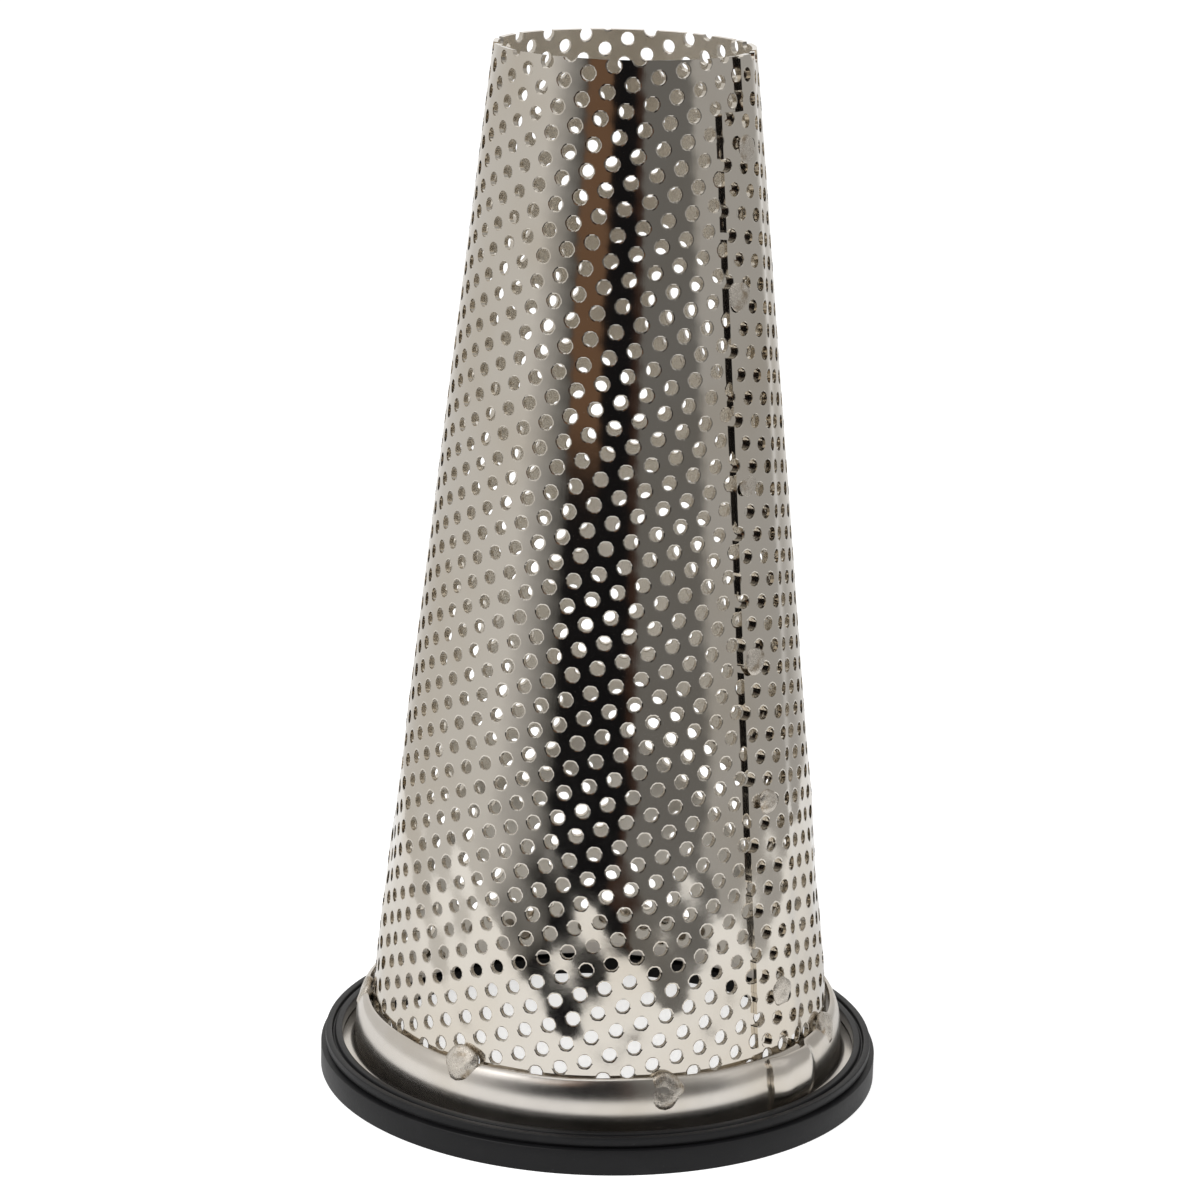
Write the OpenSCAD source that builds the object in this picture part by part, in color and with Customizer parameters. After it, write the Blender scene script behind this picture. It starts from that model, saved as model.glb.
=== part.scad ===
// Tomato press strainer cone: a perforated sheet rolled to a cone with a welded lap seam, a plain
// collar strip spot-welded round its large end, and a rubber gasket ring that grips the collar.
// Millimetres, +Z up. The origin is the centre of the gasket's underside, the small end is on top,
// and the seam lies to the right of the front (-Y).

/* [Strainer cone] */
// Height of the small end's rim above the underside of the gasket
overall_height = 114; // [80:1:200]
// Outer radius of the cone at its small end
small_end_radius = 13.8; // [8:0.1:40]
// Outer radius of the cone at its large end
large_end_radius = 25.8; // [15:0.1:80]
// Height of the cone's lower edge above the underside of the gasket
cone_edge_height = 4.6; // [4.2:0.1:8]
// Thickness of the perforated sheet
cone_sheet = 0.5; // [0.3:0.05:1.5]

/* [Perforation] */
// Number of rings of holes up the cone
hole_rings = 17; // [4:1:22]
// Number of holes in each ring
holes_per_ring = 18; // [8:1:24]
// Diameter of a hole
hole_diameter = 3.4; // [0.8:0.1:5]
// Bare sheet between the collar or the rim and the nearest hole's edge
hole_margin = 1.6; // [0.5:0.1:6]

/* [Lap seam] */
// Direction of the seam's outer edge, turned from the front towards the right
seam_angle = 42; // [0:1:90]
// Width of the strip where the sheet lies on itself
seam_width = 6.2; // [3:0.1:12]
// Width of the notch at the top corner of the outer layer
notch_width = 3.3; // [0.5:0.1:5]
// Height of the notch at the top corner of the outer layer
notch_height = 5.6; // [1:0.1:20]
// Height above the underside of the gasket where the outer layer stops
seam_foot_height = 9.8; // [9:0.1:30]
// Bare sheet between an edge of the lap and the nearest hole's edge
seam_margin = 0.4; // [0.2:0.1:3]

/* [Collar] */
// Thickness of the collar strip
collar_sheet = 0.5; // [0.3:0.05:1.5]
// Height of the collar's top edge above the underside of the gasket
collar_top_height = 8.7; // [7:0.1:14]
// Height of the straight band that is welded to the cone
collar_band = 1.5; // [1:0.1:4]
// Distance that the collar bulges out past the cone's large end
collar_bulge = 1.35; // [0.8:0.05:4]
// Reach of the foot flange out from the bulge
flange_reach = 2.3; // [2.2:0.1:4]
// Distance that the overlapping end of the strip stands proud
lap_lift = 1.1; // [0.6:0.1:2]
// Angle over which the end of the strip laps the other end
lap_angle = 15; // [8:1:30]
// Number of spot welds round the collar
collar_welds = 7; // [3:1:12]
// Diameter of a spot weld on the collar
collar_weld_diameter = 3; // [1.5:0.1:5]
// Height of a spot weld's bead above the collar
weld_rise = 0.2; // [0.1:0.05:0.5]

/* [Gasket] */
// Width of the rubber outside the collar's flange
gasket_rim = 1.7; // [1.3:0.1:10]
// Width of the rubber floor under the collar's flange
gasket_floor = 2.5; // [1:0.1:10]
// Height of the outer step of the gasket
outer_step_height = 2.75; // [2.7:0.05:6]
// Height of the gasket's top face
gasket_height = 4; // [3.8:0.1:8]
// Depth of the groove lines moulded into the gasket
groove_depth = 0.45; // [0.3:0.05:0.6]
// Width of the groove lines moulded into the gasket
groove_width = 0.35; // [0.2:0.05:0.6]
// Chamfer on the gasket's edges
gasket_chamfer = 0.3; // [0.1:0.05:0.6]
// Play between the gasket and the collar
gasket_play = 0.1; // [0.05:0.05:0.4]

/* [Hidden] */
nothing = 0.01;
trim = 1; // what stands above the small end until it is cut off level
steel = [0.80, 0.78, 0.75];
bright_steel = [0.84, 0.83, 0.81];
rubber = [0.07, 0.07, 0.075];

// The cone's slope, and its outer radius at a height
slope = atan((large_end_radius - small_end_radius) / (overall_height - cone_edge_height));
function cone_radius(z) = large_end_radius - (z - cone_edge_height) * tan(slope);

// The rings of holes run from above the collar to below the rim, half a step round from each other
first_ring = collar_top_height + hole_margin + hole_diameter / 2;
last_ring = overall_height - hole_margin - hole_diameter / 2;
ring_step = (last_ring - first_ring) / max(hole_rings - 1, 1);
hole_step = 360 / holes_per_ring;
row_turn = 4; // the rings climb round the cone, because the sheet was perforated before it was rolled

// The flange rests in the gasket's slot, and the collar stands on it
flange_top = cone_edge_height - 2;
flange_middle = flange_top - collar_sheet / 2;
bulge_radius = large_end_radius + collar_bulge - collar_sheet / 2;
bulge_height = collar_top_height - collar_band - 1.8;
foot_turn = 0.9;
throat_gap = 1.75; // between the bulge and the gasket's lip, so that the lapped end fits in too

// The gasket's slot takes the flange, and its rim and floor are measured from the slot
slot_radius = bulge_radius + flange_reach + gasket_play;
gasket_radius = slot_radius + gasket_rim;
gasket_bore_radius = slot_radius - gasket_floor;

// Middle line of the collar's section: band, bulge, foot bend and flange
band_line = [for (z = [collar_top_height, collar_top_height - collar_band])
  [cone_radius(z) + collar_sheet / 2, z]];
bulge_line = let (start = band_line[1])
  [for (k = [1:6]) [start[0] + (bulge_radius - start[0]) * (1 - cos(k * 30)) / 2,
    start[1] - (start[1] - bulge_height) * k / 6]];
foot_line = [for (k = [0:3]) let (a = k * 30)
  [bulge_radius + foot_turn * (1 - cos(a)), flange_middle + foot_turn * (1 - sin(a))]];
flange_line = [[bulge_radius + flange_reach, flange_middle]];
collar_line = concat(band_line, bulge_line, foot_line, flange_line);

// Outline of a sheet of a given thickness along a middle line
function unit(v) = v / norm(v);
function side_of(line, k) =
  let (t = unit(line[min(k + 1, len(line) - 1)] - line[max(k - 1, 0)])) [t[1], -t[0]];
function sheet_outline(line, thickness) = concat(
  [for (k = [0:len(line) - 1]) line[k] + side_of(line, k) * thickness / 2],
  [for (k = [len(line) - 1:-1:0]) line[k] - side_of(line, k) * thickness / 2]);

// Turns a thing made at azimuth 0 (+X) to an angle counted from the front towards the right
module turned(angle) rotate([0, 0, angle - 90]) children();

// A solid cone with the sheet's slope, moved out from the sheet's outer face by a distance
module cone_body(out, low, high)
  translate([0, 0, low]) cylinder(h = high - low, r1 = cone_radius(low) + out / cos(slope),
    r2 = cone_radius(high) + out / cos(slope));

// A plug square to the sheet at a height on azimuth 0, from a depth below its face to a rise above
module on_sheet(z, deep, rise, diameter)
  translate([cone_radius(z), 0, z]) rotate([0, 90 - slope, 0])
    translate([0, 0, -deep]) cylinder(h = deep + rise, d = diameter);

// The outer layer of the lap: one parallel strip, notched at its top corner
module seam_strip() turned(seam_angle) difference() {
  intersection() {
    difference() {
      cone_body(cone_sheet, seam_foot_height, overall_height + 2 * trim);
      cone_body(-cone_sheet / 2, seam_foot_height - trim, overall_height + 3 * trim);
    }
    translate([0, 0, seam_foot_height])
      cube([2 * large_end_radius, seam_width, overall_height - seam_foot_height + 3 * trim]);
  }
  translate([0, -nothing, overall_height - notch_height])
    cube([2 * large_end_radius, notch_width, notch_height + 3 * trim]);
}

// Holes keep clear of the lap's two edges, so each one is whole
function clear_of_lap(angle, z) =
  let (side = cone_radius(z) * sin(angle - seam_angle), reach = hole_diameter / 2 + seam_margin)
    cos(angle - seam_angle) < 0 || (abs(side) > reach && abs(side - seam_width) > reach);

module strainer_cone() color(steel) difference() {
  union() {
    cone_body(0, cone_edge_height, overall_height + trim);
    seam_strip();
  }
  cone_body(-cone_sheet, cone_edge_height - trim, overall_height + 2 * trim);
  translate([0, 0, overall_height]) cylinder(h = 4 * trim, r = 2 * large_end_radius);
  for (ring = [0:hole_rings - 1], k = [0:holes_per_ring - 1])
    let (angle = (k + ring / 2) * hole_step + ring * row_turn, z = first_ring + ring * ring_step)
      if (clear_of_lap(angle, z))
        turned(angle) on_sheet(z, 3 * cone_sheet, 4 * cone_sheet, hole_diameter);
}

// The strip goes round the cone and comes back over its own end, standing proud over the seam
module base_collar() color(bright_steel) {
  lifted = [for (p = collar_line) p + [lap_lift, 0]];
  union() {
    rotate_extrude() polygon(sheet_outline(collar_line, collar_sheet));
    turned(seam_angle) rotate_extrude(angle = lap_angle)
      intersection() {
        polygon(sheet_outline(lifted, collar_sheet));
        translate([0, flange_top + gasket_play]) square([gasket_radius * 2, collar_top_height]);
      }
    turned(seam_angle + lap_angle - 1.2) rotate_extrude(angle = 1.2)
      intersection() {
        polygon(concat([for (p = collar_line) p], [for (k = [len(lifted) - 1:-1:0]) lifted[k]]));
        translate([0, flange_top + gasket_play]) square([gasket_radius * 2, collar_top_height]);
      }
    for (k = [0:collar_welds - 1]) let (z = collar_top_height - collar_band * 0.75)
      turned(seam_angle - 26 - k * 360 / collar_welds)
        on_sheet(z, -collar_sheet / 2, collar_sheet + weld_rise, collar_weld_diameter);
  }
}

module gasket_ring() color(rubber) {
  slot_top = flange_top + gasket_play;
  slot_bottom = flange_top - collar_sheet - gasket_play;
  throat_radius = bulge_radius + throat_gap;
  step_radius = gasket_radius - 0.5;
  band_radius = (throat_radius + step_radius) / 2;
  rotate_extrude() polygon([
    [gasket_bore_radius + gasket_chamfer, 0],
    [gasket_radius - gasket_chamfer, 0],
    [gasket_radius, gasket_chamfer],
    [gasket_radius, outer_step_height - gasket_chamfer],
    [gasket_radius - gasket_chamfer, outer_step_height],
    [step_radius - groove_depth, outer_step_height],
    [step_radius - groove_depth, outer_step_height + groove_width],
    [step_radius, outer_step_height + groove_width],
    [step_radius, gasket_height - gasket_chamfer],
    [step_radius - gasket_chamfer, gasket_height],
    [band_radius + groove_width / 2, gasket_height],
    [band_radius + groove_width / 2, gasket_height - groove_depth],
    [band_radius - groove_width / 2, gasket_height - groove_depth],
    [band_radius - groove_width / 2, gasket_height],
    [throat_radius, gasket_height],
    [throat_radius, slot_top],
    [slot_radius, slot_top],
    [slot_radius, slot_bottom],
    [gasket_bore_radius, slot_bottom],
    [gasket_bore_radius, gasket_chamfer],
  ]);
}

strainer_cone();
base_collar();
gasket_ring();
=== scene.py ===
"""A tomato press strainer cone, dressed for its picture.

A perforated sheet is rolled to a cone and closed by a lap seam with spot welds. A plain collar
strip is welded round its wide end, its end lapping its beginning, and a rubber gasket ring grips
the collar's foot. The sizes in the classes are millimetres and degrees, a direction is an angle
from the front (-Y) towards the right, and the meshes are in metres.
"""
import logging
import math
import random
from dataclasses import dataclass, field
from enum import Enum
from typing import Callable, Iterable, Optional, Union

import bmesh
import bpy
from mathutils import Matrix, Vector


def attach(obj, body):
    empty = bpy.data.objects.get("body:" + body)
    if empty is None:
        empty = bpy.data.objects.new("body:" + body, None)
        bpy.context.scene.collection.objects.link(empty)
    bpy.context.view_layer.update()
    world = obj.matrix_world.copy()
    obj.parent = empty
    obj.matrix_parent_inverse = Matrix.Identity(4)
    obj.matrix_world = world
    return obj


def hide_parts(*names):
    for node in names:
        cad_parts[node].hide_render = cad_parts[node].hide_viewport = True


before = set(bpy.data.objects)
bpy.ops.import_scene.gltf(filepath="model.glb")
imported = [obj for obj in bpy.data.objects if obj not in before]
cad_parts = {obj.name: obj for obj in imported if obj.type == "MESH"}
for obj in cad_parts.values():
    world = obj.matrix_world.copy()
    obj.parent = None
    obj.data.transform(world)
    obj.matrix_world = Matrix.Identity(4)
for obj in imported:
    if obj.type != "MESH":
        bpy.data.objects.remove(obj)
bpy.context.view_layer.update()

log = logging.getLogger("strainer")
MM = 0.001
BODY = "root"
Colour = tuple[float, float, float]
Line = list[tuple[float, float]]


# Shader maths


class Signal:
    """A number on a node's socket, which ordinary sums can use."""

    def __init__(self, recipe: "Recipe", socket: bpy.types.NodeSocket) -> None:
        """Keeps the socket and the recipe that it belongs to.

        Args:
            recipe: The node tree that new Math nodes go into.
            socket: The output that carries the number.
        """
        self.recipe = recipe
        self.socket = socket

    def _sum(self, operation: str, *values: "Number") -> "Signal":
        """Adds one Math node.

        Args:
            operation: The node's operation.
            values: What goes into its sockets, in order.

        Returns:
            The node's result.
        """
        made = self.recipe.node("ShaderNodeMath", {"operation": operation}, dict(enumerate(values)))
        return Signal(self.recipe, made.outputs[0])

    def __add__(self, other: "Number") -> "Signal":
        """This plus another."""
        return self._sum("ADD", self, other)

    def __radd__(self, other: "Number") -> "Signal":
        """Another plus this."""
        return self._sum("ADD", other, self)

    def __sub__(self, other: "Number") -> "Signal":
        """This less another."""
        return self._sum("SUBTRACT", self, other)

    def __rsub__(self, other: "Number") -> "Signal":
        """Another less this."""
        return self._sum("SUBTRACT", other, self)

    def __mul__(self, other: "Number") -> "Signal":
        """This times another."""
        return self._sum("MULTIPLY", self, other)

    def __rmul__(self, other: "Number") -> "Signal":
        """Another times this."""
        return self._sum("MULTIPLY", other, self)

    def __truediv__(self, other: "Number") -> "Signal":
        """This over another."""
        return self._sum("DIVIDE", self, other)

    def __neg__(self) -> "Signal":
        """This with its sign turned."""
        return self._sum("MULTIPLY", self, -1.0)

    def bearing(self, ahead: "Signal") -> "Signal":
        """The angle whose sine goes with this and whose cosine with ahead, in radians."""
        return self._sum("ARCTAN2", self, ahead)

    def largest(self, other: "Number") -> "Signal":
        """The larger of this and another."""
        return self._sum("MAXIMUM", self, other)

    def smallest(self, other: "Number") -> "Signal":
        """The smaller of this and another."""
        return self._sum("MINIMUM", self, other)

    def eased(self, low: float, high: float) -> "Signal":
        """A soft step from 0 at low to 1 at high; high may be the smaller one.

        Args:
            low: Where the step is still 0.
            high: Where it has reached 1.

        Returns:
            The step.
        """
        flipped = high < low
        settings = {"interpolation_type": "SMOOTHSTEP"}
        values = {"Value": self, "From Min": min(low, high), "From Max": max(low, high)}
        made = self.recipe.node("ShaderNodeMapRange", settings, values)
        step = Signal(self.recipe, made.outputs["Result"])
        return 1.0 - step if flipped else step


Number = Union[Signal, float]


class Recipe:
    """The node tree of one material or of the world."""

    def __init__(self, owner: Union[bpy.types.Material, bpy.types.World]) -> None:
        """Empties the owner's node tree.

        Args:
            owner: The material or world whose nodes this writes.
        """
        owner.use_nodes = True
        self.tree = owner.node_tree
        self.tree.nodes.clear()

    def node(self, kind: str, settings: Optional[dict] = None,
             values: Optional[dict] = None) -> bpy.types.Node:
        """Adds any node.

        Args:
            kind: The node's type.
            settings: Its own settings, which are set first; "stops" fills a ramp.
            values: A value or a link for each socket, by name or number.

        Returns:
            The node.
        """
        made = self.tree.nodes.new(kind)
        for name, setting in (settings or {}).items():
            if name == "stops":
                self._fill(made.color_ramp, setting)
            else:
                setattr(made, name, setting)
        for name, value in (values or {}).items():
            self._feed(made.inputs[name], value)
        return made

    @staticmethod
    def _fill(ramp: bpy.types.ColorRamp, stops: list[tuple[float, Colour]]) -> None:
        """Sets a ramp's stops, each a position and a colour."""
        while len(ramp.elements) > 1:
            ramp.elements.remove(ramp.elements[-1])
        for number, (place, colour) in enumerate(stops):
            stop = ramp.elements[0] if number == 0 else ramp.elements.new(place)
            stop.position = place
            stop.color = (*colour, 1.0)

    def _feed(self, socket: bpy.types.NodeSocket, value: object) -> None:
        """Links a socket to a signal or another socket, or sets its value."""
        if isinstance(value, Signal):
            self.tree.links.new(value.socket, socket)
        elif isinstance(value, bpy.types.NodeSocket):
            self.tree.links.new(value, socket)
        elif socket.type == "RGBA" and len(value) == 3:
            socket.default_value = (*value, 1.0)
        else:
            socket.default_value = value

    def place(self) -> bpy.types.NodeSocket:
        """The place on the object, in metres."""
        return self.node("ShaderNodeTexCoord").outputs["Object"]

    def parts(self) -> tuple[Signal, Signal, Signal]:
        """The three numbers of the place on the object."""
        split = self.node("ShaderNodeSeparateXYZ", {}, {"Vector": self.place()})
        return tuple(Signal(self, split.outputs[axis]) for axis in "XYZ")

    def stretched(self, scale: Colour) -> bpy.types.NodeSocket:
        """The place on the object, stretched by a factor along each axis."""
        values = {"Vector": self.place(), "Scale": scale}
        return self.node("ShaderNodeMapping", {}, values).outputs["Vector"]

    def noise(self, size: float, detail: float = 3.0, at: object = None, rough: float = 0.5) -> Signal:
        """Cloudy noise between 0 and 1.

        Args:
            size: Size of a cloud in millimetres.
            detail: How many finer layers lie in it.
            at: The coordinates, or nothing for the place on the object.
            rough: How strong the finer layers are.

        Returns:
            The noise.
        """
        values = {"Vector": at or self.place(), "Scale": 1 / (size * MM), "Detail": detail}
        made = self.node("ShaderNodeTexNoise", {}, {**values, "Roughness": rough})
        return Signal(self, made.outputs[0])

    def kept(self, name: str) -> Signal:
        """A number that the mesh keeps for each point."""
        made = self.node("ShaderNodeAttribute", {"attribute_name": name})
        return Signal(self, made.outputs["Fac"])

    def tint(self, mask: Number, plain: object, full: object) -> bpy.types.NodeSocket:
        """A colour that goes from plain to full as the mask goes from 0 to 1."""
        made = self.node("ShaderNodeMix", {"data_type": "RGBA"}, {0: mask, 6: plain, 7: full})
        return made.outputs[2]

    def relief(self, height: Number, strength: float = 1.0) -> bpy.types.NodeSocket:
        """A normal bent by a height in millimetres."""
        values = {"Height": height, "Distance": MM, "Strength": strength}
        return self.node("ShaderNodeBump", {}, values).outputs["Normal"]

    def close(self, shader: bpy.types.NodeSocket, kind: str = "ShaderNodeOutputMaterial") -> None:
        """Ends the recipe with its output."""
        self.node(kind, {}, {"Surface": shader})

    def seen(self, gloss: float, straight: float) -> Signal:
        """A strength for what is looked at, which is 0 for plain light.

        Args:
            gloss: The strength where a gloss or glass shows it.
            straight: The strength where the camera sees it straight.

        Returns:
            The strength.
        """
        path = self.node("ShaderNodeLightPath")
        rays = ("Is Camera Ray", "Is Glossy Ray", "Is Transmission Ray")
        camera, glossy, through = (Signal(self, path.outputs[ray]) for ray in rays)
        return camera * straight + (glossy + through).smallest(1.0) * gloss


# Finishes


@dataclass(frozen=True)
class PlatedSheet:
    """Bright nickel plate on rolled sheet."""

    name: str
    colour: Colour = (0.72, 0.675, 0.605)
    stain: Colour = (0.66, 0.60, 0.51)
    roughness: float = 0.105
    grain: float = 0.0016
    hole_edges: bool = True

    def material(self) -> bpy.types.Material:
        """Mixes the plate: clouds of stain, fine rolling grain and rounded hole edges.

        Returns:
            The material.
        """
        made = bpy.data.materials.new(self.name)
        recipe = Recipe(made)
        clouds = recipe.noise(14.0, 4.0)
        specks = recipe.noise(0.9, 2.0)
        smears = recipe.noise(5.0, 5.0, rough=0.65)
        rolled = recipe.noise(0.35, 3.0, recipe.stretched((1.0, 1.0, 0.12)))
        colour = recipe.tint(clouds.eased(0.42, 0.72) * 0.7, self.colour, self.stain)
        rough = self.roughness + (smears - 0.5) * 0.10 + (specks - 0.5) * 0.05
        height = rolled * self.grain + specks * (self.grain * 1.4)
        values = {"Metallic": 1.0, "Roughness": rough.largest(0.04)}
        if self.hole_edges:
            rim = recipe.kept("rim")
            height = height - rim.eased(0.80, 1.0) * 0.045
            colour = recipe.tint(rim.eased(0.86, 1.0) * 0.35, colour, self.stain)
        values["Base Color"] = colour
        values["Normal"] = recipe.relief(height)
        shader = recipe.node("ShaderNodeBsdfPrincipled", {}, values)
        recipe.close(shader.outputs["BSDF"])
        return made


@dataclass(frozen=True)
class WeldMetal:
    """Melted and burnt sheet of a spot weld: pale, dull and pitted."""

    name: str
    colour: Colour = (0.66, 0.61, 0.54)
    burnt: Colour = (0.36, 0.29, 0.21)
    roughness: float = 0.27

    def material(self) -> bpy.types.Material:
        """Mixes the weld metal.

        Returns:
            The material.
        """
        made = bpy.data.materials.new(self.name)
        recipe = Recipe(made)
        pits = recipe.noise(0.55, 5.0, rough=0.7)
        burns = recipe.noise(1.3, 4.0)
        colour = recipe.tint(burns.eased(0.5, 0.72), self.colour, self.burnt)
        values = {
            "Base Color": colour,
            "Metallic": 1.0,
            "Roughness": self.roughness + (pits - 0.5) * 0.4,
            "Normal": recipe.relief(pits * 0.11),
        }
        shader = recipe.node("ShaderNodeBsdfPrincipled", {}, values)
        recipe.close(shader.outputs["BSDF"])
        return made


@dataclass(frozen=True)
class MouldedRubber:
    """Black moulded rubber with a satin skin and a little pale dust."""

    name: str
    colour: Colour = (0.0075, 0.0075, 0.0082)
    dust: Colour = (0.024, 0.024, 0.025)
    roughness: float = 0.40

    def material(self) -> bpy.types.Material:
        """Mixes the rubber.

        Returns:
            The material.
        """
        made = bpy.data.materials.new(self.name)
        recipe = Recipe(made)
        clouds = recipe.noise(7.0, 4.0)
        grain = recipe.noise(0.28, 3.0)
        motes = recipe.noise(0.5, 2.0)
        colour = recipe.tint(clouds.eased(0.5, 0.8) * 0.35, self.colour, self.dust)
        colour = recipe.tint(motes.eased(0.70, 0.78) * 0.6, colour, self.dust)
        values = {
            "Base Color": colour,
            "Roughness": self.roughness + (clouds - 0.5) * 0.16 + (grain - 0.5) * 0.10,
            "Specular IOR Level": 0.24,
            "Normal": recipe.relief(grain * 0.012 + clouds * 0.05),
        }
        shader = recipe.node("ShaderNodeBsdfPrincipled", {}, values)
        recipe.close(shader.outputs["BSDF"])
        return made


# Mesh helpers


def around(radius: float, angle: float, height: float) -> Vector:
    """A place on the object.

    Args:
        radius: Distance from the axis in millimetres.
        angle: Direction in radians, from the front towards the right.
        height: Height in millimetres.

    Returns:
        The place in metres.
    """
    return Vector((radius * math.sin(angle), -radius * math.cos(angle), height)) * MM


def ease(value: float, low: float, high: float) -> float:
    """A soft step from 0 at low to 1 at high."""
    part = min(1.0, max(0.0, (value - low) / (high - low)))
    return part * part * (3 - 2 * part)


def everything(bm: bmesh.types.BMesh) -> list:
    """All points, edges and faces of a mesh."""
    return bm.verts[:] + bm.edges[:] + bm.faces[:]


def chain(bm: bmesh.types.BMesh, line: Line, closed: bool = False) -> list:
    """Lays a line of edges on the plane of the front, as the start of a spin.

    Args:
        bm: The mesh that gets the line.
        line: Radius and height of each point in millimetres.
        closed: Whether the last point joins the first.

    Returns:
        The points and edges of the line.
    """
    points = [bm.verts.new(around(radius, 0.0, height)) for radius, height in line]
    pairs = list(zip(points, points[1:] + points[:1]))
    edges = [bm.edges.new(pair) for pair in (pairs if closed else pairs[:-1])]
    return points + edges


def crisp(bm: bmesh.types.BMesh, degrees: float = 38.0) -> None:
    """Shades a mesh smooth, except across its sharp edges."""
    for face in bm.faces:
        face.smooth = True
    for edge in bm.edges:
        edge.smooth = len(edge.link_faces) == 2 and edge.calc_face_angle(0.0) < math.radians(degrees)


def outwards(bm: bmesh.types.BMesh, test: Callable[[bmesh.types.BMFace], float]) -> None:
    """Points the faces of an open sheet the same way, and outwards.

    Args:
        bm: The mesh.
        test: Gives a number above 0 for a face that points outwards.
    """
    bmesh.ops.recalc_face_normals(bm, faces=bm.faces[:])
    if sum(test(face) for face in bm.faces) < 0:
        bmesh.ops.reverse_faces(bm, faces=bm.faces[:])


def radial(face: bmesh.types.BMFace) -> float:
    """How far a face looks away from the axis, weighed by its size."""
    middle = face.calc_center_median()
    return (face.normal.x * middle.x + face.normal.y * middle.y) * face.calc_area()


def settle(
    name: str,
    bm: bmesh.types.BMesh,
    finishes: Iterable[bpy.types.Material],
    node: str,
) -> bpy.types.Object:
    """Turns a finished mesh into a piece that stands for a CAD node.

    Args:
        name: The piece's name.
        bm: Its mesh, which this call uses up.
        finishes: The materials, in the order of the faces' numbers.
        node: The CAD node that it replaces.

    Returns:
        The piece.
    """
    mesh = bpy.data.meshes.new(name)
    bm.to_mesh(mesh)
    bm.free()
    for finish in finishes:
        mesh.materials.append(finish)
    piece = bpy.data.objects.new(name, mesh)
    bpy.context.scene.collection.objects.link(piece)
    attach(piece, BODY)
    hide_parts(node)
    low, high = (Vector(corner) / MM for corner in (piece.bound_box[0], piece.bound_box[6]))
    size = " x ".join(f"{length:.1f}" for length in high - low)
    log.info("%s: %d faces, %s mm, stands for %s", name, len(mesh.polygons), size, node)
    return piece


@dataclass(frozen=True)
class Weld:
    """One spot weld: its direction, height, width and how far it stands proud."""

    angle: float
    height: float
    width: float
    rise: float


def add_weld(bm: bmesh.types.BMesh, weld: Weld, radius: float, lean: float, seed: int) -> None:
    """Adds the lumpy bead of a spot weld to a mesh, with the mesh's second material.

    Args:
        bm: The mesh.
        weld: The weld's place and size.
        radius: Distance of the sheet's face from the axis, in millimetres.
        lean: How far the sheet leans inwards, in radians.
        seed: Number that fixes the weld's lumps.
    """
    dice = random.Random(seed)
    bead = bmesh.ops.create_icosphere(bm, subdivisions=3, radius=0.5)["verts"]
    lumps = [(dice.uniform(2, 5), dice.uniform(0, 6.3), dice.uniform(2, 5)) for _ in range(3)]
    for vert in bead:
        x, y, z = vert.co * 2
        swell = sum(math.sin(a * x + b) * math.cos(c * y + b) for a, b, c in lumps) / 3
        rim = 1 + 0.12 * swell
        pressed = 1 - 0.35 * math.exp(-((x * x + y * y) / 0.12)) if z > 0 else 1
        vert.co = Vector((x * weld.width / 2 * rim, y * weld.width / 2 * rim,
                          z * weld.rise * (1 + 0.35 * swell) * pressed))
    angle = math.radians(weld.angle)
    out = Vector((math.sin(angle) * math.cos(lean), -math.cos(angle) * math.cos(lean), math.sin(lean)))
    turn = out.to_track_quat("Z", "Y").to_matrix().to_4x4()
    bmesh.ops.transform(bm, matrix=turn, verts=bead)
    bmesh.ops.scale(bm, vec=(MM, MM, MM), verts=bead)
    bmesh.ops.translate(bm, vec=around(radius, angle, weld.height), verts=bead)
    for face in {face for vert in bead for face in vert.link_faces}:
        face.material_index = 1
        face.smooth = True


# The strainer's pieces


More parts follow.
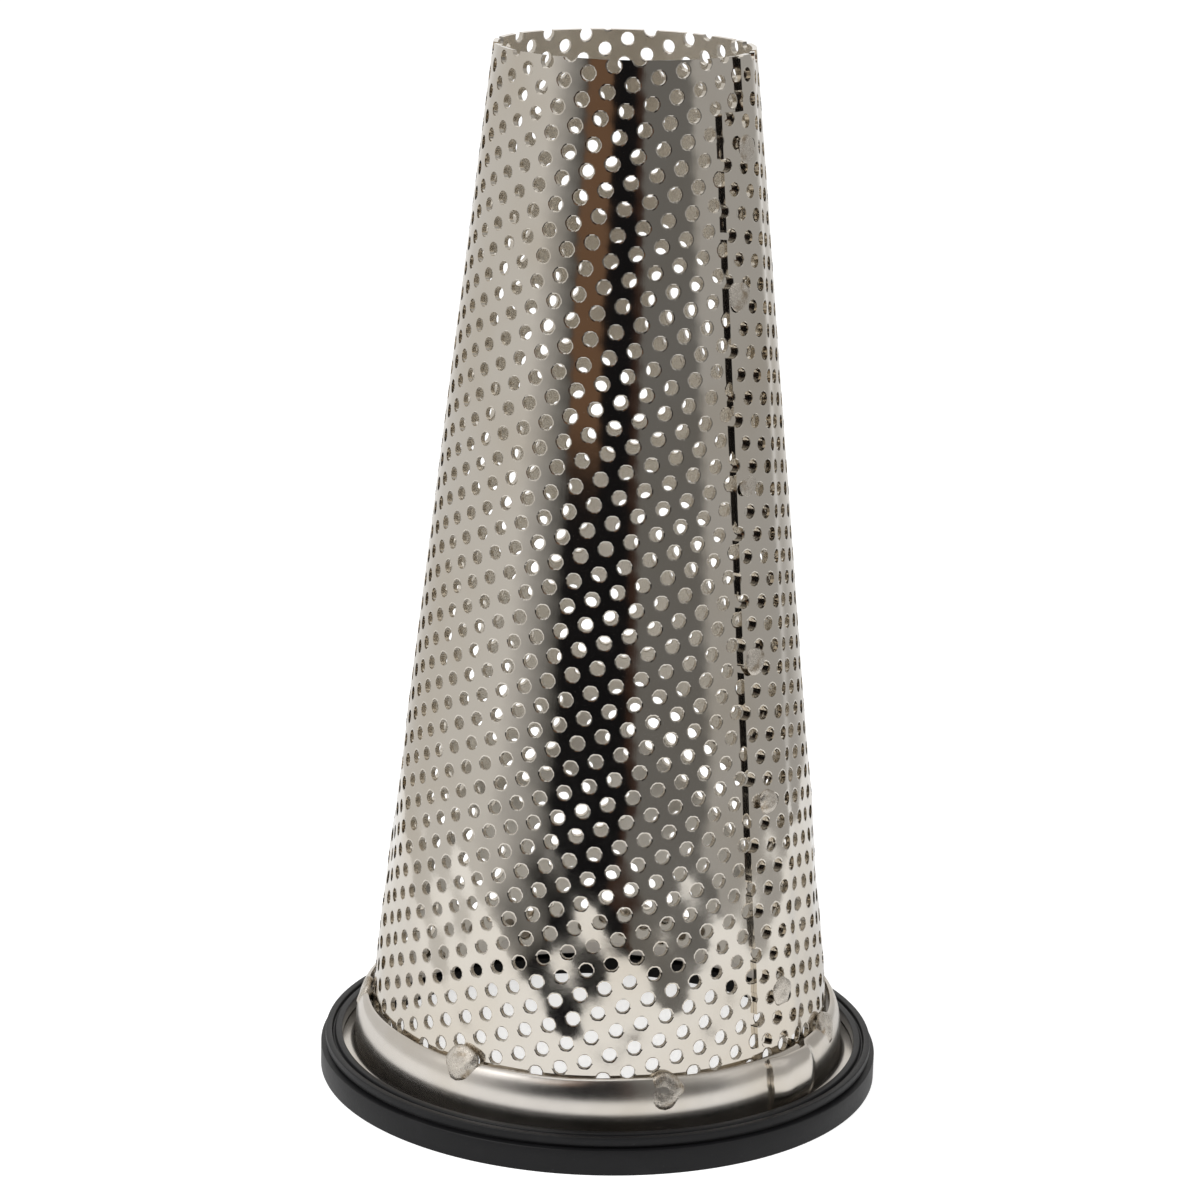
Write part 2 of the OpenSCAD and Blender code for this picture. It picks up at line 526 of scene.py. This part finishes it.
@dataclass
class PerforatedCone:
    """The perforated sheet, rolled to a cone and closed by a lap seam."""

    top: float = 114.0
    foot: float = 4.6
    top_radius: float = 13.8
    foot_radius: float = 25.8
    sheet: float = 0.5
    hole: float = 1.5
    pitch: float = 2.7286
    row_angle: float = 0.29135
    row_start: tuple[float, float] = (186.1997, -0.4533)
    seam_angle: float = 42.0
    seam_width: float = 6.2
    notch: tuple[float, float] = (3.3, 5.6)
    seam_foot: float = 9.8
    dent: float = 0.20
    welds: tuple[Weld, ...] = (
        Weld(56.5, 104.6, 3.0, 0.16),
        Weld(47.3, 89.8, 3.2, 0.16),
        Weld(47.4, 70.1, 2.6, 0.14),
        Weld(46.9, 51.6, 3.0, 0.30),
        Weld(49.2, 36.3, 2.8, 0.75),
        Weld(51.2, 15.2, 3.2, 0.40),
    )

    def __post_init__(self) -> None:
        """Works out the flat blank of the cone."""
        self.slope = math.atan((self.foot_radius - self.top_radius) / (self.top - self.foot))
        self.turn = math.sin(self.slope)
        self.near = self.top_radius / self.turn
        self.far = self.foot_radius / self.turn
        self.apex = self.top + self.near * math.cos(self.slope)
        self.start = math.radians(self.seam_angle - 360) * self.turn
        self.end = math.radians(self.seam_angle) * self.turn

    def slant(self, height: float) -> float:
        """Distance from the cone's point to a height, along the sheet."""
        return (self.apex - height) / math.cos(self.slope)

    def cell(self) -> bmesh.types.BMesh:
        """Makes one hole with the six-sided patch of sheet round it.

        Returns:
            The mesh, which keeps 1 at the hole and 0 at the patch's edge as its rim number.
        """
        bm = bmesh.new()
        rim = bm.verts.layers.float.new("rim")
        hole = bmesh.ops.create_circle(bm, segments=12, radius=self.hole / 2 * MM)["verts"]
        patch = bmesh.ops.create_circle(bm, segments=12, radius=self.pitch / 2 * MM)["verts"]
        corners = [vert for vert in patch if round(math.degrees(math.atan2(vert.co.y, vert.co.x))) % 60]
        grow = 1 / math.cos(math.radians(30))
        bmesh.ops.scale(bm, vec=(grow, grow, 1), verts=corners)
        for vert in hole:
            vert[rim] = 1.0
        bmesh.ops.bridge_loops(bm, edges=bm.edges[:])
        return bm

    @staticmethod
    def repeat(bm: bmesh.types.BMesh, step: Vector, count: int) -> None:
        """Copies a mesh side by side until it is there count times."""
        first = everything(bm)
        for number in range(1, count):
            copy = bmesh.ops.duplicate(bm, geom=first)["geom"]
            moved = [item for item in copy if isinstance(item, bmesh.types.BMVert)]
            bmesh.ops.translate(bm, vec=step * number, verts=moved)

    def plate(self) -> bmesh.types.BMesh:
        """Lays out the perforated plate, large enough for the whole blank.

        Returns:
            The flat plate, with the cone's point at the origin.
        """
        bm = self.cell()
        step, row = self.pitch * MM, self.pitch * MM * math.sin(math.radians(60))
        self.repeat(bm, Vector((step, 0, 0)), 50)
        first = everything(bm)
        copy = bmesh.ops.duplicate(bm, geom=first)["geom"]
        moved = [item for item in copy if isinstance(item, bmesh.types.BMVert)]
        bmesh.ops.translate(bm, vec=(step / 2, row, 0), verts=moved)
        self.repeat(bm, Vector((0, 2 * row, 0)), 41)
        bmesh.ops.remove_doubles(bm, verts=bm.verts[:], dist=0.02 * MM)
        rows = self.row_angle + math.radians(90) - math.radians(120)
        x, y = self.row_start
        corner = Vector((x, y, 0)) * MM
        turn = Matrix.Rotation(rows, 4, "Z")
        bmesh.ops.transform(bm, matrix=turn, verts=bm.verts[:])
        along, across = turn @ Vector((step, 0, 0)), turn @ Vector((0, 2 * row, 0))
        wanted = turn @ Vector((self.near * MM * 0.90, -43 * row, 0)) - corner
        steps = round(wanted.dot(along) / along.length_squared)
        rises = round(wanted.dot(across) / across.length_squared)
        shift = corner + along * steps + across * rises
        bmesh.ops.translate(bm, vec=shift, verts=bm.verts[:])
        return bm

    @staticmethod
    def trim(bm: bmesh.types.BMesh, spot: Vector, away: Vector) -> None:
        """Cuts a mesh along a plane and drops the side that the plane faces."""
        bmesh.ops.bisect_plane(bm, geom=everything(bm), plane_co=spot, plane_no=away,
                               clear_outer=True, dist=1e-7)

    def cut_blank(self, bm: bmesh.types.BMesh) -> None:
        """Cuts the plate to the cone's blank: two seam edges and two round edges.

        Args:
            bm: The plate, which ends up with the angle on the cone as x and the slant as y.
        """
        edge = Vector((math.cos(self.start), math.sin(self.start), 0))
        self.trim(bm, Vector(), Vector((edge.y, -edge.x, 0)))
        last = Vector((math.cos(self.end), math.sin(self.end), 0))
        side = Vector((-last.y, last.x, 0))
        self.trim(bm, side * self.seam_width * MM, side)
        for vert in bm.verts:
            x, y, _ = vert.co
            vert.co = Vector((math.atan2(y, x), math.hypot(x, y), 0))
        self.trim(bm, Vector((0, self.near * MM, 0)), Vector((0, -1, 0)))
        self.trim(bm, Vector((0, self.far * MM, 0)), Vector((0, 1, 0)))

    def across(self, vert: bmesh.types.BMVert) -> float:
        """Distance in millimetres of a point on the flat blank from the outer layer's edge."""
        return (vert.co.x - self.start) * vert.co.y / MM

    def cut_corner(self, bm: bmesh.types.BMesh, width: float, low: float, high: float) -> None:
        """Cuts a piece out of the outer layer at its edge.

        Args:
            bm: The blank, with angle and slant as its coordinates.
            width: How far the cut reaches in from the edge, in millimetres.
            low: Slant where it begins, in millimetres.
            high: Slant where it ends.
        """
        middle = (low + high) / 2 * MM
        side = self.start + width * MM / middle
        box = (self.start - 1.0, side + 0.03, (low - 4) * MM, (high + 4) * MM)

        def near() -> list:
            """The parts of the mesh round the cut."""
            faces = [face for face in bm.faces
                     if box[0] < face.calc_center_median().x < box[1]
                     and box[2] < face.calc_center_median().y < box[3]]
            return faces + list({edge for face in faces for edge in face.edges}) + list(
                {vert for face in faces for vert in face.verts})

        for spot, way in ((Vector((side, middle, 0)), Vector((1, 0, 0))),
                          (Vector((side, low * MM, 0)), Vector((0, 1, 0))),
                          (Vector((side, high * MM, 0)), Vector((0, 1, 0)))):
            bmesh.ops.bisect_plane(bm, geom=near(), plane_co=spot, plane_no=way, dist=1e-7)
        gone = [face for face in bm.faces
                if face.calc_center_median().x < side
                and low * MM < face.calc_center_median().y < high * MM]
        bmesh.ops.delete(bm, geom=gone, context="FACES")

    def wander(self, angle: float, height: float) -> float:
        """How far hand work has pushed the sheet in or out.

        Args:
            angle: Direction in radians.
            height: Height in millimetres.

        Returns:
            The push in millimetres.
        """
        low = ease(height, 8.0, 14.0) * (1 - ease(height, 27.0, 46.0))
        ripples = (math.sin(11 * angle + 0.27 * height + 0.4) * 0.5
                   + math.sin(17 * angle - 0.41 * height + 2.1) * 0.3
                   + math.sin(23 * angle + 0.62 * height + 4.0) * 0.2)
        slow = 0.05 * math.sin(2 * angle + 0.8) + 0.03 * math.sin(5 * angle + height / 21)
        faint = 0.012 * math.sin(9 * angle + height / 5.5 + 1.0)
        return self.dent * low * ripples + slow + faint

    def roll(self, bm: bmesh.types.BMesh) -> None:
        """Rolls the blank up, with its first edge lapping its last.

        Args:
            bm: The blank, with angle and slant as its coordinates.
        """
        lift = math.cos(self.slope)
        for vert in bm.verts:
            across = self.across(vert)
            angle, slant = vert.co.x / self.turn, vert.co.y / MM
            height = self.apex - slant * lift
            out = self.sheet * 1.04 * (1 - ease(across, self.seam_width - 0.6, self.seam_width + 2.6))
            out += self.wander(angle, height)
            vert.co = around(slant * self.turn + out * lift, angle, height + out * self.turn)

    def build(self, sheet: bpy.types.Material, weld: bpy.types.Material,
              inside_painted_light: bpy.types.Material) -> bpy.types.Object:
        """Makes the whole cone.

        Args:
            sheet: The plate's finish.
            weld: The spot welds' finish.
            inside_painted_light: The finish of the sheet's inner face, a lighter copy of the plate
                whose painted light stands in for the light inside the cone.

        Returns:
            The piece.
        """
        bm = self.plate()
        self.cut_blank(bm)
        width, height = self.notch
        self.cut_corner(bm, width, self.near - 1, self.near + height)
        self.cut_corner(bm, self.seam_width, self.slant(self.seam_foot), self.far + 1)
        self.roll(bm)
        outwards(bm, radial)
        bmesh.ops.solidify(bm, geom=bm.faces[:], thickness=self.sheet * MM)
        crisp(bm)
        # Faces that look inwards take the third finish, a lighter copy of the plate: painted light for
        # the light that fills the cone's inside.
        for face in bm.faces:
            middle = face.calc_center_median()
            if face.normal.x * middle.x + face.normal.y * middle.y < -0.7 * middle.xy.length:
                face.material_index = 2
        for number, spot in enumerate(self.welds):
            radius = self.foot_radius - (spot.height - self.foot) * math.tan(self.slope)
            add_weld(bm, spot, radius + self.sheet, self.slope, number)
        return settle("perforated_cone", bm, (sheet, weld, inside_painted_light), "strainer_cone")


@dataclass
class CollarStrip:
    """The plain strip that is bent and welded round the cone's wide end."""

    sheet: float = 0.5
    lap_start: float = 43.5
    lap_angle: float = 15.0
    lift: float = 1.0
    top: tuple[float, float] = (25.84, 8.70)
    bulge: float = 1.32
    bulge_drop: float = 3.9
    foot: float = 2.6
    foot_bend: float = 0.65
    flange: float = 29.1
    welds: tuple[Weld, ...] = (
        Weld(16.2, 7.3, 4.0, 0.75),
        Weld(-33.2, 8.4, 4.0, 0.75),
        Weld(-86.9, 7.9, 3.8, 0.70),
        Weld(-138.3, 7.6, 4.0, 0.70),
        Weld(170.3, 8.0, 3.7, 0.70),
        Weld(118.9, 7.7, 3.9, 0.70),
        Weld(72.0, 8.0, 3.7, 0.70),
    )

    def section(self) -> Line:
        """The strip's section: a rounded bulge, a straight wall, a foot bend and a flange.

        Returns:
            Radius and height of each point in millimetres, from the top edge outwards.
        """
        edge, top = self.top
        wall = edge + self.bulge
        turns = [math.radians(90 * number / 11) for number in range(12)]
        bends = [math.radians(30 * number) for number in range(4)]
        crown = [(edge + self.bulge * math.sin(turn), top - self.bulge_drop * (1 - math.cos(turn)))
                 for turn in turns]
        foot = [(wall + self.foot_bend * (1 - math.cos(turn)),
                 self.foot + self.foot_bend * (1 - math.sin(turn))) for turn in bends]
        middle = (top - self.bulge_drop + self.foot + self.foot_bend) / 2
        ledge = [((foot[-1][0] + self.flange) / 2, self.foot), (self.flange, self.foot)]
        return crown + [(wall, middle)] + foot + ledge

    def build(self, sheet: bpy.types.Material, weld: bpy.types.Material) -> bpy.types.Object:
        """Makes the collar.

        Args:
            sheet: The strip's finish.
            weld: The spot welds' finish.

        Returns:
            The piece.
        """
        bm = bmesh.new()
        turned = bm.verts.layers.float.new("turned")
        first = chain(bm, self.section())
        whole = 360.0 + self.lap_angle - 2.0
        steps = 250
        column = [item for item in first if isinstance(item, bmesh.types.BMVert)]
        lead = math.radians(self.lap_start)
        bmesh.ops.rotate(bm, verts=column, cent=(0, 0, 0), matrix=Matrix.Rotation(lead, 3, "Z"))
        ring = first
        for number in range(steps):
            made = bmesh.ops.extrude_edge_only(
                bm, edges=[item for item in ring if isinstance(item, bmesh.types.BMEdge)])["geom"]
            points = [item for item in made if isinstance(item, bmesh.types.BMVert)]
            step = math.radians(whole / steps)
            bmesh.ops.rotate(bm, verts=points, cent=(0, 0, 0), matrix=Matrix.Rotation(step, 3, "Z"))
            for point in points:
                point[turned] = whole * (number + 1) / steps
            ring = [item for item in made if not isinstance(item, bmesh.types.BMFace)]
        dice = random.Random(5)
        for vert in bm.verts:
            self.shape(vert, vert[turned], dice)
        outwards(bm, radial)
        bmesh.ops.solidify(bm, geom=bm.faces[:], thickness=self.sheet * MM)
        crisp(bm, 45.0)
        for number, spot in enumerate(self.welds):
            add_weld(bm, spot, 26.15 + 0.36 * max(0.0, 7.9 - spot.height), 0.30, 40 + number)
        return settle("collar_strip", bm, (sheet, weld), "base_collar")

    def shape(self, vert: bmesh.types.BMVert, turned: float, dice: random.Random) -> None:
        """Lifts the lapped end and makes the strip's edges a little uneven.

        Args:
            vert: A point of the strip.
            turned: How far along the strip it lies, in degrees from the outer end.
            dice: Source of the sheared edge's roughness.
        """
        angle = math.atan2(vert.co.x, -vert.co.y)
        height = vert.co.z / MM
        radius = math.hypot(vert.co.x, vert.co.y) / MM
        upper = ease(height, 2.6, 4.6)
        lifted = 1 - ease(turned, self.lap_angle - 2.2, self.lap_angle + 1.8)
        grown = 0.55 + 0.45 * ease(turned, 0.0, 5.0)
        radius += self.lift * lifted * grown * (0.35 + 0.65 * upper)
        height += 0.12 * (1 - upper) * lifted
        top = ease(height, 7.6, 8.7)
        height += top * (0.10 * math.sin(3 * angle + 1.0) + 0.05 * math.sin(11 * angle))
        radius += 0.04 * math.sin(4 * angle) * upper
        if turned < 0.01:
            angle += dice.uniform(-0.0035, 0.0035)
            radius += dice.uniform(-0.05, 0.05)
        vert.co = around(radius, angle, height)


@dataclass
class GasketRing:
    """The moulded rubber ring whose slot grips the collar's foot."""

    bore: float = 26.8
    outside: float = 31.0
    outer_step: float = 2.75
    top: float = 4.0
    lip: float = 28.65
    slot: tuple[float, float] = (2.0, 2.7)
    slot_radius: float = 29.3
    groove: float = 0.42

    def section(self) -> Line:
        """The ring's section.

        Returns:
            Radius and height of each corner in millimetres.
        """
        step, low, high = self.outside - 0.5, self.slot[0], self.slot[1]
        band = (self.lip + step) / 2
        return [
            (self.bore, 0.0), (self.outside, 0.0), (self.outside, self.outer_step),
            (step - self.groove, self.outer_step), (step - self.groove, self.outer_step + 0.3),
            (step, self.outer_step + 0.3), (step, self.top),
            (band + 0.22, self.top), (band + 0.12, self.top - self.groove),
            (band - 0.12, self.top - self.groove), (band - 0.22, self.top),
            (self.lip, self.top), (self.lip, high), (self.slot_radius, high),
            (self.slot_radius, low), (self.bore, low),
        ]

    def build(self, rubber: bpy.types.Material) -> bpy.types.Object:
        """Makes the gasket.

        Args:
            rubber: Its finish.

        Returns:
            The piece.
        """
        bm = bmesh.new()
        start = chain(bm, self.section(), closed=True)
        bmesh.ops.spin(bm, geom=start, cent=(0, 0, 0), axis=(0, 0, 1), dvec=(0, 0, 0),
                       angle=math.radians(360), steps=192, use_merge=True, use_duplicate=False)
        bmesh.ops.remove_doubles(bm, verts=bm.verts[:], dist=0.01 * MM)
        bmesh.ops.recalc_face_normals(bm, faces=bm.faces[:])
        sharp = [edge for edge in bm.edges if edge.calc_face_angle(0.0) > math.radians(30)
                 and abs(edge.verts[0].co.z - edge.verts[1].co.z) < 1e-6]
        bmesh.ops.bevel(bm, geom=sharp, affect="EDGES", offset=0.09 * MM, offset_type="OFFSET",
                        segments=2, profile=0.5, material=-1, clamp_overlap=True)
        bmesh.ops.recalc_face_normals(bm, faces=bm.faces[:])
        crisp(bm, 50.0)
        return settle("gasket", bm, (rubber,), "gasket_ring")


# The studio


class Seen(Enum):
    """What a staged thing shows itself to."""

    ALL = "all"
    GLOSS = "gloss"


@dataclass
class Studio:
    """White table, light tent with a slit for the camera, soft lamps and the camera.

    The tent has a bright back, a left wall that falls into shade towards the slit, and a shaded
    fold before its right wall. The slit is dark, with a brown flap that hangs over its left part
    above a height, and a brown hem on its right.
    """

    tent_radius: float = 140.0
    tent_height: float = 420.0
    back: float = 1.0
    left_wall: float = 0.66
    left_shade: float = 0.05
    right_fold: float = 0.16
    right_wall: float = 0.42
    warmth: Colour = (1.0, 0.985, 0.965)
    slit: tuple[float, float] = (-28.0, 14.2)
    slit_dark: Colour = (0.008, 0.008, 0.009)
    flap: tuple[float, float] = (-29.0, -9.0)
    flap_foot: float = 72.0
    flap_brown: Colour = (0.165, 0.096, 0.058)
    hem: tuple[float, float] = (10.5, 15.5)
    hem_brown: Colour = (0.05, 0.026, 0.018)

    def stage(self, name: str, bm: bmesh.types.BMesh, finish: bpy.types.Material, seen: Seen) -> None:
        """Places a thing that isn't part of the strainer.

        Args:
            name: Its name.
            bm: Its mesh, which this call uses up.
            finish: Its material.
            seen: What it shows itself to.
        """
        mesh = bpy.data.meshes.new(name)
        bm.to_mesh(mesh)
        bm.free()
        mesh.materials.append(finish)
        thing = bpy.data.objects.new(name, mesh)
        bpy.context.scene.collection.objects.link(thing)
        if seen is Seen.GLOSS:
            thing.visible_camera = thing.visible_diffuse = False
            thing.visible_shadow = thing.visible_transmission = False

    def table(self) -> None:
        """Lays the white table, which shows white and still takes the strainer's shadow."""
        made = bpy.data.materials.new("white_table")
        recipe = Recipe(made)
        paper = recipe.node("ShaderNodeBsdfDiffuse", {}, {"Color": (0.72, 0.72, 0.72)})
        glow = recipe.node("ShaderNodeEmission", {},
                           {"Color": (1, 1, 1), "Strength": recipe.seen(0.17, 0.62)})
        both = recipe.node("ShaderNodeAddShader", {}, {0: paper.outputs[0], 1: glow.outputs[0]})
        recipe.close(both.outputs[0])
        bm = bmesh.new()
        bmesh.ops.create_grid(bm, x_segments=1, y_segments=1, size=6.0)
        self.stage("table", bm, made, Seen.ALL)

    def tent(self) -> None:
        """Stands the light tent round the strainer, seen only in the metal's gloss."""
        made = bpy.data.materials.new("tent_cloth")
        recipe = Recipe(made)
        x, y, z = recipe.parts()
        angle = x.bearing(-y) * (180 / math.pi)
        share = (angle + 180.0) / 360.0
        levels = ((-180, self.back), (-138, self.left_wall), (-60, self.left_wall),
                  (-28, self.left_shade), (16, self.right_fold), (53, self.right_fold),
                  (59, self.right_wall), (128, self.right_wall), (180, self.back))
        stops = [((at + 180) / 360, tuple(level * part for part in self.warmth))
                 for at, level in levels]
        cloth = recipe.node("ShaderNodeValToRGB", {"stops": stops}, {0: share}).outputs[0]

        def between(sides: tuple[float, float], soft: float) -> Signal:
            """1 between two directions, with soft edges."""
            left, right = sides
            return angle.eased(left - soft, left + soft) * angle.eased(right + soft, right - soft)

        raised = z.eased((self.flap_foot - 6) * MM, (self.flap_foot + 6) * MM)
        colour = recipe.tint(between(self.slit, 1.8), cloth, self.slit_dark)
        colour = recipe.tint(between(self.flap, 2.0) * raised * 0.95, colour, self.flap_brown)
        colour = recipe.tint(between(self.hem, 1.5) * 0.8, colour, self.hem_brown)
        shine = recipe.node("ShaderNodeEmission", {}, {"Color": colour, "Strength": 1.0})
        recipe.close(shine.outputs[0])
        bm = bmesh.new()
        ends = bmesh.ops.create_cone(bm, segments=96, radius1=self.tent_radius * MM,
                                     radius2=self.tent_radius * MM, depth=self.tent_height * MM)
        bmesh.ops.translate(bm, vec=(0, 0, self.tent_height / 2 * MM), verts=ends["verts"])
        self.stage("light_tent", bm, made, Seen.GLOSS)

    def sky(self) -> None:
        """Sets the white background and the plain light that comes from all round."""
        world = bpy.data.worlds.new("studio")
        bpy.context.scene.world = world
        recipe = Recipe(world)
        level = 0.62 + recipe.seen(0.38, 0.38)
        shade = recipe.node("ShaderNodeBackground", {}, {"Color": (1, 1, 1), "Strength": level})
        recipe.close(shade.outputs[0], "ShaderNodeOutputWorld")

    def lamp(self, name: str, spot: Vector, size: float, power: float) -> None:
        """Hangs a soft square lamp that shines at the strainer.

        Args:
            name: The lamp's name.
            spot: Its place in metres.
            size: The length of its side in metres.
            power: Its power in watts.
        """
        data = bpy.data.lights.new(name, "AREA")
        data.shape = "SQUARE"
        data.size = size
        data.energy = power
        lamp = bpy.data.objects.new(name, data)
        aim = Vector((0, 0, 0.05)) - spot
        lamp.matrix_world = Matrix.Translation(spot) @ aim.to_track_quat("-Z", "Y").to_matrix().to_4x4()
        bpy.context.scene.collection.objects.link(lamp)

    def camera(self) -> None:
        """Sets the camera at the photograph's viewing angle, for a square picture."""
        distance, height, pitch, yaw, roll = 0.38057, 0.15879, 0.2692, -0.0028, 0.0269
        level = math.cos(pitch)
        forward = Vector((math.sin(yaw) * level, math.cos(yaw) * level, -math.sin(pitch)))
        right = Vector((math.cos(yaw), -math.sin(yaw), 0))
        up = right.cross(forward)
        across = right * math.cos(roll) + up * math.sin(roll)
        upward = up * math.cos(roll) - right * math.sin(roll)
        data = bpy.data.cameras.new("camera")
        focal_pixels, picture_pixels = 3632.6, 1200
        data.sensor_width = 36.0
        data.lens = focal_pixels * data.sensor_width / picture_pixels
        data.clip_start = 0.01
        camera = bpy.data.objects.new("camera", data)
        turn = Matrix((across, upward, -forward)).transposed().to_4x4()
        camera.matrix_world = Matrix.Translation((0, -distance, height)) @ turn
        bpy.context.scene.collection.objects.link(camera)
        bpy.context.scene.camera = camera

    def build(self) -> None:
        """Sets up everything round the strainer."""
        self.camera()
        self.table()
        self.tent()
        self.sky()
        self.lamp("left_softbox", Vector((-0.55, -0.45, 0.65)), 0.5, 5.0)
        self.lamp("right_softbox", Vector((0.6, -0.25, 0.5)), 0.4, 2.0)
        scene = bpy.context.scene
        scene.view_settings.view_transform = "Standard"
        log.info("studio: table, light tent, two softboxes and camera")


def main() -> None:
    """Builds the strainer's pieces in order."""
    logging.basicConfig(level=logging.INFO, format="%(name)s: %(message)s")
    Studio().build()
    plate = PlatedSheet("cone_plate").material()
    strip = PlatedSheet("collar_plate", colour=(0.74, 0.70, 0.65), roughness=0.23, grain=0.0004,
                        hole_edges=False).material()
    weld = WeldMetal("weld_metal").material()
    rubber = MouldedRubber("gasket_rubber").material()
    # The inner face's plate is lighter than the outer plate: painted light standing in for the light
    # inside the cone.
    inside_painted_light = PlatedSheet("inner_plate_painted_light", colour=(0.86, 0.82, 0.75), stain=(0.80, 0.75, 0.66),
                         roughness=0.24).material()
    PerforatedCone().build(plate, weld, inside_painted_light)
    CollarStrip().build(strip, weld)
    GasketRing().build(rubber)


if __name__ == "__main__":
    main()
